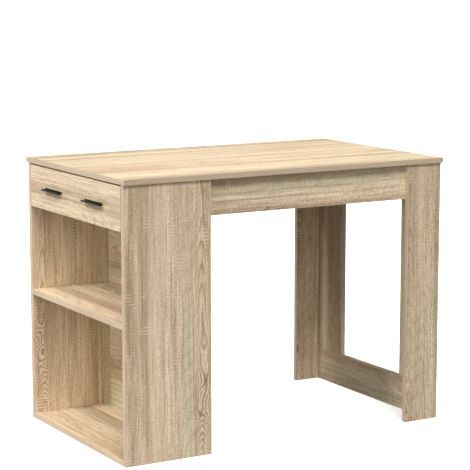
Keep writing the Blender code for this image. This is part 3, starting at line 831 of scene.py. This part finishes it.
@dataclass
class Board:
    """A foiled chipboard panel with banded edges."""

    node: str
    grain: Axis
    shift: Colour
    body: Body = Body.DESK
    drilled: bool = False
    # The two tone factors multiply the board's foil and its edge bands; below 1 they darken a board or
    # its edges as far as it sits in shade, which is painted shade over the print's own colour.
    tone: float = 1.0
    edge_tone_and_shade: float = 1.0
    easing: float = 0.0006
    rim_easing: float = 0.00015
    band: float = 0.0009
    glue_line: float = 0.00012
    whole_share: float = 0.9

    def build(self) -> None:
        """Make the board and dress it."""
        self.low, self.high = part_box(self.node)
        work = self._drilled_stock() if self.drilled else self._plain_stock()
        self._scribe_band_lines(work)
        self._sort_faces(work)
        runs = (Axis(self.wide[0]), Axis(self.wide[1]))
        across = next(run for run in runs if run is not self.grain)
        foil = OakFoil(self.node, self.grain, across, self.shift, self.tone)
        bands = [EdgeBand(run, self.edge_tone_and_shade) for run in runs]
        finishes = (foil, *bands, ChipCore())
        link_piece(self.node + "_board", work, self.body, Slot.OAK_FOIL, self.node, *finishes)

    @property
    def thin(self) -> int:
        """The number of the axis through the board's thickness."""
        size = self.high - self.low
        return min(range(3), key=lambda axis: size[axis])

    @property
    def wide(self) -> tuple[int, int]:
        """The numbers of the other two axes, in turn."""
        return (self.thin + 1) % 3, (self.thin + 2) % 3

    def _plain_stock(self) -> bmesh.types.BMesh:
        """Saw an undrilled board and ease its arrises.

        Returns:
            The board's shape.
        """
        work = bmesh.new()
        middle = Matrix.Translation((self.low + self.high) / 2)
        size = Matrix.Diagonal((*(self.high - self.low), 1.0))
        bmesh.ops.create_cube(work, size=1.0, matrix=middle @ size)
        ease(work, list(work.edges), self.easing, 3)
        return work

    def _drilled_stock(self) -> bmesh.types.BMesh:
        """Copy a drilled board and round its chamfers and the rims of its holes.

        Returns:
            The board's shape.
        """
        work = merged_copy(self.node)
        ease_corners(work, self.rim_easing, least=20.0)
        return work

    def _scribe_band_lines(self, work: bmesh.types.BMesh) -> None:
        """Scribe the fine line where the foil meets the edge band, on each whole face.

        Args:
            work: The board's shape.
        """
        size = self.high - self.low
        whole = self.whole_share * size[self.wide[0]] * size[self.wide[1]]
        faces = [
            face
            for face in work.faces
            if len(face.verts) == 4 and abs(face.normal[self.thin]) > FACING and face.calc_area() > whole
        ]
        for thickness, side in ((self.band, 0.0), (self.glue_line, -0.5), (self.glue_line, 0.5)):
            depth = side * self.glue_line
            bmesh.ops.inset_individual(work, faces=faces, thickness=thickness, depth=depth)

    def _sort_faces(self, work: bmesh.types.BMesh) -> None:
        """Give each face its finish: 0 foil, 1 and 2 edge bands, 3 bare core.

        Args:
            work: The board's shape.
        """
        middle = (self.low + self.high) / 2
        half = (self.high - self.low) / 2
        first, second = self.wide
        smooth_roundings(work)
        for face in work.faces:
            away = face.calc_center_median() - middle
            depths = [half[axis] - abs(away[axis]) for axis in range(3)]
            rim = min(depths[first], depths[second])
            if min(depths) > 2 * self.easing / 3:
                face.material_index = 3
            elif abs(face.normal[self.thin]) > FACING and (rim > 2 * self.band or len(face.verts) > 4):
                face.material_index = 0
            elif abs(away[first]) / half[first] < abs(away[second]) / half[second]:
                face.material_index = 1
            else:
                face.material_index = 2


@dataclass
class Frame:
    """The fixed boards: top, cabinet, leg and aprons."""

    # Tone factors below 1 paint shade: they darken the leg's front board, the front apron and the
    # cabinet's inner panel, and the edges of the top and of the cabinet's front panel.
    boards: tuple[Board, ...] = (
        Board("tabletop", Axis.X, (0.65, 0.07, 0.0), drilled=True, edge_tone_and_shade=0.92),
        Board("cabinet_front_panel", Axis.Z, (1.04, 0.612, 5.01), drilled=True, edge_tone_and_shade=0.93),
        Board("cabinet_back_panel", Axis.Z, (2.20, 0.13, 0.50), drilled=True),
        Board("cabinet_inner_panel", Axis.Y, (0.70, 1.21, 0.10), tone=0.94),
        Board("cabinet_floor", Axis.Y, (3.10, 0.45, 0.30)),
        Board("cabinet_shelf", Axis.Y, (1.90, 2.35, 0.60)),
        Board("leg_front_board", Axis.Z, (1.14, 0.275, 4.89), tone=0.93),
        Board("leg_back_board", Axis.Z, (1.14, 0.275, 4.315)),
        Board("leg_front_side_board", Axis.Z, (2.60, 1.11, 0.70), drilled=True),
        Board("leg_back_side_board", Axis.Z, (1.50, 2.00, 0.15), drilled=True),
        Board("leg_bottom_rail", Axis.Y, (0.90, 3.20, 1.10)),
        Board("front_apron", Axis.X, (2.45, 0.72, 0.36), tone=0.95),
        Board("back_apron", Axis.X, (1.15, 1.52, 2.36)),
    )

    def build(self) -> None:
        """Build each board."""
        for board in self.boards:
            board.build()


@dataclass
class TroughHandle:
    """A black extruded handle with an open trough behind its lip."""

    node: str
    sheet: float = 0.0020
    base: float = 0.0030
    lip_drop: float = 0.0015
    fillet: float = 0.0009
    outer_fillet: float = 0.0018
    end_easing: float = 0.00025
    small_face: float = 0.0001

    def build(self) -> None:
        """Extrude the handle's outline and round its edges."""
        low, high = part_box(self.node)
        outline = [
            (high.x, high.z),
            (high.x, low.z),
            (low.x, low.z),
            (low.x, high.z - self.lip_drop),
            (low.x + self.sheet, high.z - self.lip_drop),
            (low.x + self.sheet, low.z + self.sheet),
            (high.x - self.base, low.z + self.sheet),
            (high.x - self.base, high.z),
        ]
        work = bmesh.new()
        ends = [work.verts.new((x, low.y, z)) for x, z in outline]
        face = work.faces.new(ends)
        grown = bmesh.ops.extrude_face_region(work, geom=[face], use_keep_orig=True)
        moved = [item for item in grown["geom"] if isinstance(item, bmesh.types.BMVert)]
        bmesh.ops.translate(work, vec=(0.0, high.y - low.y, 0.0), verts=moved)
        bmesh.ops.recalc_face_normals(work, faces=work.faces)
        self._round(work, self.outer_fillet, [(low.x, low.z)])
        self._round(work, self.fillet, outline[3:])
        caps = [edge for edge in work.edges if self._on_end(edge, low.y) or self._on_end(edge, high.y)]
        ease(work, caps, self.end_easing, 2)
        for face in work.faces:
            face.smooth = face.calc_area() < self.small_face and len(face.verts) == 4
        name = self.node + "_trough"
        link_piece(name, work, Body.DRAWER, Slot.BLACK_METAL, self.node, POWDER_BLACK)

    def _on_end(self, edge: bmesh.types.BMEdge, y: float) -> bool:
        """Tell whether an edge lies in the end plane at a Y."""
        return all(abs(vert.co.y - y) < SAME_PLACE for vert in edge.verts)

    def _round(self, work: bmesh.types.BMesh, radius: float, corners: list[tuple[float, float]]) -> None:
        """Round the long edges that stand on some of the outline's corners.

        Args:
            work: The handle's shape.
            radius: The rounding's radius.
            corners: The corners as (x, z).
        """
        edges = []
        for edge in work.edges:
            first, second = (vert.co for vert in edge.verts)
            if (first - second).cross(Axis.Y.unit).length > SAME_PLACE:
                continue
            if any(math.dist((first.x, first.z), corner) < SAME_PLACE for corner in corners):
                edges.append(edge)
        ease(work, edges, radius, 4)


@dataclass
class Drawer:
    """The sliding drawer: face, box, bottom sheet and handles."""

    # The drawer face's tone below 1 paints shade: it darkens the face's foil.
    boards: tuple[Board, ...] = (
        Board("drawer_face", Axis.Y, (0.40, 0.77, 0.25), Body.DRAWER, drilled=True, tone=0.91),
        Board("drawer_front_wall", Axis.X, (1.70, 2.90, 0.45), Body.DRAWER, drilled=True),
        Board("drawer_back_wall", Axis.X, (3.60, 1.40, 0.85), Body.DRAWER, drilled=True),
        Board("drawer_end_wall", Axis.Y, (2.40, 2.22, 1.65), Body.DRAWER, drilled=True),
    )
    handles: tuple[TroughHandle, ...] = (TroughHandle("handle_front"), TroughHandle("handle_back"))

    def build(self) -> None:
        """Build the drawer's pieces."""
        for board in self.boards:
            board.build()
        for handle in self.handles:
            handle.build()
        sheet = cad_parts["drawer_bottom_sheet"]
        sheet.material_slots[0].material = HARDBOARD.material()
        LOG.info("drawer bottom sheet dressed")


# ---- runners and screws ----


def spun(profile: list[tuple[float, float]], steps: int, closed: bool = False) -> bmesh.types.BMesh:
    """Turn an outline about Z.

    Args:
        profile: Points as (radius, height).
        steps: Sides in the full turn.
        closed: Whether the outline closes on itself, as a bored piece's does.

    Returns:
        The turned shape.
    """
    work = bmesh.new()
    points = [work.verts.new((radius, 0.0, height)) for radius, height in profile]
    edges = [work.edges.new(pair) for pair in zip(points, points[1:])]
    if closed:
        edges.append(work.edges.new((points[-1], points[0])))
    bmesh.ops.spin(
        work,
        geom=points + edges,
        cent=(0.0, 0.0, 0.0),
        axis=(0.0, 0.0, 1.0),
        angle=math.tau,
        steps=steps,
        use_merge=True,
    )
    bmesh.ops.remove_doubles(work, verts=work.verts, dist=WELD)
    return work


def seat(work: bmesh.types.BMesh, node: str, outward: Vector) -> None:
    """Point a turned shape's faces out and move its outer face from Z = 0 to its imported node's.

    Args:
        work: The piece's shape.
        node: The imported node.
        outward: The direction that the outer face looks in.
    """
    bmesh.ops.recalc_face_normals(work, faces=work.faces)
    for face in work.faces:
        face.smooth = abs(face.normal.z) < FLAT
    low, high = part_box(node)
    reach = Vector([way * size / 2 for way, size in zip(outward, high - low)])
    place = Matrix.Translation((low + high) / 2 + reach)
    turn = outward.to_track_quat("Z", "Y").to_matrix().to_4x4()
    bmesh.ops.transform(work, matrix=place @ turn, verts=work.verts)


def depth_along(node: str, outward: Vector) -> float:
    """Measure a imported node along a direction."""
    low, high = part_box(node)
    return abs((high - low).dot(outward))


@dataclass
class Roller:
    """A moulded nylon roller with a hub and a recessed web."""

    node: str
    outward: Vector
    bore: float = 0.0023
    hub: float = 0.0045
    tyre: float = 0.0072
    recess: float = 0.0006
    rounding: float = 0.00025
    steps: int = 48

    def build(self) -> None:
        """Turn the roller and seat it on its body."""
        low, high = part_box(self.node)
        radius = (high.z - low.z) / 2
        back = -depth_along(self.node, self.outward)
        side = [
            (self.bore, 0.0),
            (self.hub, 0.0),
            (self.hub, self.recess),
            (self.tyre, self.recess),
            (self.tyre, 0.0),
            (radius, 0.0),
        ]
        profile = [(out, -down) for out, down in side] + [(out, back + down) for out, down in side[::-1]]
        work = spun(profile, self.steps, closed=True)
        bmesh.ops.recalc_face_normals(work, faces=work.faces)
        ease_corners(work, self.rounding)
        seat(work, self.node, self.outward)
        name = self.node + "_wheel"
        link_piece(name, work, Body(self.node), Slot.ROLLER_PLASTIC, self.node, NYLON)


@dataclass
class RollerPin:
    """A steel pin with a domed head, a shoulder and a tail riveted in the rail."""

    node: str
    outward: Vector
    body: Body
    head: float = 0.0035
    head_depth: float = 0.0008
    dome: tuple[tuple[float, float], ...] = ((0.45, 0.10), (0.80, 0.42))
    stem: float = 0.0020
    shoulder: float = 0.0032
    shoulder_depth: float = 0.0007
    tail: float = 0.0015
    tail_length: float = 0.0013
    steps: int = 32

    def build(self) -> None:
        """Turn the pin and seat it in its rail."""
        end = -depth_along(self.node, self.outward)
        seat_top = end + self.tail_length
        profile = [
            (0.0, 0.0),
            *((self.head * out, -self.head_depth * down) for out, down in self.dome),
            (self.head, -self.head_depth),
            (self.stem, -self.head_depth),
            (self.stem, seat_top + self.shoulder_depth),
            (self.shoulder, seat_top + self.shoulder_depth),
            (self.shoulder, seat_top),
            (self.tail, seat_top),
            (self.tail, end),
            (0.0, end),
        ]
        work = spun(profile, self.steps)
        seat(work, self.node, self.outward)
        link_piece(self.node + "_rivet", work, self.body, Slot.ZINC, self.node, ZINC)


@dataclass
class CrossScrew:
    """A zinc-plated screw with a cross recess in its head."""

    node: str
    outward: Vector
    head: Head
    body: Body
    shank: float = 0.0015
    ring: float = 0.0019
    arm: float = 0.0015
    arm_width: float = 0.0006
    recess: float = 0.0009
    recess_taper: float = 0.55
    sunk_rim: float = 0.0002
    sunk_depth: float = 0.0019
    pan_depth: float = 0.0015
    pan_dome: tuple[tuple[float, float], ...] = ((0.70, 0.0001), (0.88, 0.0004), (1.0, 0.0009))
    steps: int = 32

    def build(self) -> None:
        """Turn the screw, sink its recess and seat it."""
        work = spun(self._profile(), self.steps)
        self._sink_recess(work)
        seat(work, self.node, self.outward)
        link_piece(self.node + "_plated", work, self.body, Slot.ZINC, self.node, ZINC)

    def _profile(self) -> list[tuple[float, float]]:
        """Draw the screw's outline from the ring round its recess down to its tip.

        Returns:
            Points as (radius, height).
        """
        low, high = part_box(self.node)
        wide = sorted(high - low)[0] / 2
        end = -depth_along(self.node, self.outward)
        if self.head is Head.COUNTERSUNK:
            head = [(wide - self.sunk_rim, 0.0), (wide, -self.sunk_rim), (self.shank, -self.sunk_depth)]
        else:
            head = [(out * wide, -down) for out, down in self.pan_dome]
            head += [(wide, -self.pan_depth), (self.shank, -self.pan_depth)]
        return [(self.ring, 0.0), *head, (self.shank, end + self.shank), (0.0, end)]

    def _sink_recess(self, work: bmesh.types.BMesh) -> None:
        """Close the head round a cross and sink the cross.

        Args:
            work: The turned screw, open inside the ring on its head.
        """
        rim = [edge for edge in work.edges if edge.is_boundary]
        arm, half = self.arm, self.arm_width / 2
        quarter = ((arm, -half), (arm, half), (half, half))
        corners = []
        for turn in range(4):
            spin = Matrix.Rotation(turn * math.pi / 2, 2)
            corners += [spin @ Vector(corner) for corner in quarter]
        points = [work.verts.new((*corner, 0.0)) for corner in corners]
        cross = [work.edges.new(pair) for pair in zip(points, points[1:] + points[:1])]
        bmesh.ops.triangle_fill(work, use_beauty=True, edges=rim + cross, normal=Axis.Z.unit)
        inside = [face for face in work.faces if all(vert in points for vert in face.verts)]
        bmesh.ops.delete(work, geom=inside, context="FACES_ONLY")
        grown = bmesh.ops.extrude_edge_only(work, edges=cross)["geom"]
        sunk = [item for item in grown if isinstance(item, bmesh.types.BMVert)]
        floor = [item for item in grown if isinstance(item, bmesh.types.BMEdge)]
        bmesh.ops.scale(work, vec=(self.recess_taper, self.recess_taper, 1.0), verts=sunk)
        bmesh.ops.translate(work, vec=(0.0, 0.0, -self.recess), verts=sunk)
        edges = [edge for edge in floor if all(vert in sunk for vert in edge.verts)]
        bmesh.ops.edgeloop_fill(work, edges=edges)


@dataclass
class PressedRail:
    """A rail pressed from white steel strip, with rounded bends."""

    node: str
    body: Body
    bend: float = 0.0003

    def build(self) -> None:
        """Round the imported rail's bends and edges."""
        work = merged_copy(self.node)
        ease_corners(work, self.bend, segments=3)
        smooth_roundings(work)
        link_piece(self.node + "_strip", work, self.body, Slot.WHITE_RAIL, self.node, EPOXY_WHITE)


@dataclass
class Fittings:
    """The runners, the screws and the cams under the top."""

    handle_screw_shank: float = 0.0018

    def build(self) -> None:
        """Build every fitting of both sides."""
        for word, out in (("front", -Axis.Y.unit), ("back", Axis.Y.unit)):
            self._runner(word, out)
            self._screws(word, out)
        for name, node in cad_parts.items():
            if name.startswith("cam_"):
                node.material_slots[0].material = ZINC.material()
                LOG.info("cam fitting %s", name)

    def _runner(self, word: str, out: Vector) -> None:
        """Build one side's rails, rollers and pins.

        Args:
            word: The side's name.
            out: The direction from the drawer to that side's panel.
        """
        PressedRail("cabinet_rail_" + word, Body.DESK).build()
        PressedRail("drawer_rail_" + word, Body.DRAWER).build()
        Roller("roller_cabinet_" + word, -out).build()
        Roller("roller_drawer_" + word, out).build()
        RollerPin("roller_pin_cabinet_" + word, -out, Body.DESK).build()
        RollerPin("roller_pin_drawer_" + word, out, Body.DRAWER).build()

    def _screws(self, word: str, out: Vector) -> None:
        """Build one side's screws.

        Args:
            word: The side's name.
            out: The direction from the drawer to that side's panel.
        """
        for end in ("near", "far"):
            CrossScrew(f"cabinet_rail_screw_{word}_{end}", -out, Head.COUNTERSUNK, Body.DESK).build()
            CrossScrew(f"drawer_rail_screw_{word}_{end}", -Axis.Z.unit, Head.PAN, Body.DRAWER).build()
        for level in ("low", "high"):
            CrossScrew(f"end_screw_{word}_{level}", out, Head.COUNTERSUNK, Body.DRAWER).build()
        for end in ("a", "b"):
            screw = CrossScrew(f"handle_screw_{word}_{end}", Axis.X.unit, Head.PAN, Body.DRAWER)
            screw.shank = screw.ring = self.handle_screw_shank
            screw.build()


# ---- studio ----


def toward(azimuth: float, elevation: float) -> Vector:
    """Give the direction of a place seen from the desk.

    Args:
        azimuth: The turn from -Y towards +X, in radians.
        elevation: The rise above the floor, in radians.

    Returns:
        The unit vector.
    """
    flat = math.cos(elevation)
    return Vector((math.sin(azimuth) * flat, -math.cos(azimuth) * flat, math.sin(elevation)))


@dataclass
class Lamp:
    """A broad distant lamp."""

    name: str
    azimuth: float
    elevation: float
    strength: float
    spread: float = 26.0
    gloss: bool = True
    distance: float = 4.0

    def build(self) -> None:
        """Hang the lamp and aim it at the desk."""
        data = bpy.data.lights.new(self.name, "SUN")
        data.energy = self.strength * math.pi
        data.angle = math.radians(self.spread)
        lamp = placed(self.name, data)
        lamp.visible_glossy = self.gloss
        source = toward(math.radians(self.azimuth), math.radians(self.elevation))
        lamp.location = self.distance * source
        lamp.rotation_euler = source.to_track_quat("Z", "Y").to_euler()
        LOG.info("lamp %s", self.name)


@dataclass
class Studio:
    """The pale floor, the lamps, the surrounding light and the camera."""

    floor_size: float = 400.0
    floor_glow: float = 0.62
    dome_radius: float = 190.0
    surround: float = 0.12
    camera_place: Colour = (-2.51548, -4.30894, 1.33548)
    camera_turn: float = 0.52976
    camera_dip: float = 0.15813
    lens: float = 134.614
    lamps: tuple[Lamp, ...] = (
        Lamp("left_key", -95.0, 50.0, 0.82, spread=16.0),
        Lamp("front_key", -15.0, 47.0, 0.64, spread=18.0),
        Lamp("low_left_fill", -75.0, 5.0, 0.36, spread=8.0),
        Lamp("low_front_fill", -15.0, 10.0, 0.13),
        Lamp("corner_fill", -35.0, 30.0, 0.14),
        Lamp("overhead_fill", 0.0, 90.0, 0.10),
        Lamp("back_fill", 160.0, 18.0, 0.24, gloss=False),
        Lamp("right_fill", 95.0, 14.0, 0.26, gloss=False),
    )

    def build(self) -> None:
        """Set up the whole studio."""
        self._floor()
        self._backdrop()
        self._surround()
        for lamp in self.lamps:
            lamp.build()
        self._camera()
        bpy.context.scene.view_settings.view_transform = "Standard"

    def _stage_piece(
        self, name: str, work: bmesh.types.BMesh, values: dict[str, object]
    ) -> bpy.types.Object:
        """Link a glowing white stage piece that lifts no light onto the desk.

        Args:
            name: The piece's name.
            work: Its shape, freed here.
            values: Shader values by socket name.

        Returns:
            The new object.
        """
        piece = linked(name, work)
        material, _, shader = blank_material(name)
        for socket, value in {"Emission Color": WHITE, **values}.items():
            shader.inputs[socket].default_value = value
        piece.data.materials.append(material)
        piece.visible_diffuse = False
        return piece

    def _floor(self) -> None:
        """Lay a plain pale floor."""
        work = bmesh.new()
        bmesh.ops.create_grid(work, x_segments=1, y_segments=1, size=self.floor_size / 2)
        values = {
            "Base Color": (0.9, 0.9, 0.9, 1.0),
            "Roughness": 0.9,
            "Specular IOR Level": 0.1,
            "Emission Strength": self.floor_glow,
        }
        floor = self._stage_piece("studio_floor", work, values)

    def _backdrop(self) -> None:
        """Close the room with a plain white dome, which casts no shade and lights nothing."""
        work = bmesh.new()
        bmesh.ops.create_uvsphere(work, u_segments=64, v_segments=32, radius=self.dome_radius)
        bmesh.ops.reverse_faces(work, faces=work.faces)
        values = {"Base Color": (0.0, 0.0, 0.0, 1.0), "Emission Strength": 1.0}
        dome = self._stage_piece("studio_dome", work, values)
        dome.visible_glossy = dome.visible_transmission = dome.visible_shadow = False

    def _surround(self) -> None:
        """Light the room evenly from all round."""
        world = bpy.data.worlds.new("surround")
        world.use_nodes = True
        ground = world.node_tree.nodes["Background"]
        ground.inputs["Color"].default_value = WHITE
        ground.inputs["Strength"].default_value = self.surround
        bpy.context.scene.world = world

    def _camera(self) -> None:
        """Stand the camera in front of the cabinet end and look down at the desk."""
        data = bpy.data.cameras.new("camera")
        data.lens = self.lens
        data.clip_end = 2.0 * self.floor_size
        camera = placed("camera", data)
        camera.location = self.camera_place
        ahead = -toward(-self.camera_turn, self.camera_dip)
        camera.rotation_euler = ahead.to_track_quat("-Z", "Y").to_euler()
        bpy.context.scene.camera = camera


def main() -> None:
    """Build the desk and its studio."""
    logging.basicConfig(level=logging.INFO, format="%(name)s: %(message)s")
    for assembly in (Frame(), Drawer(), Fittings(), Studio()):
        assembly.build()


if __name__ == "__main__":
    main()
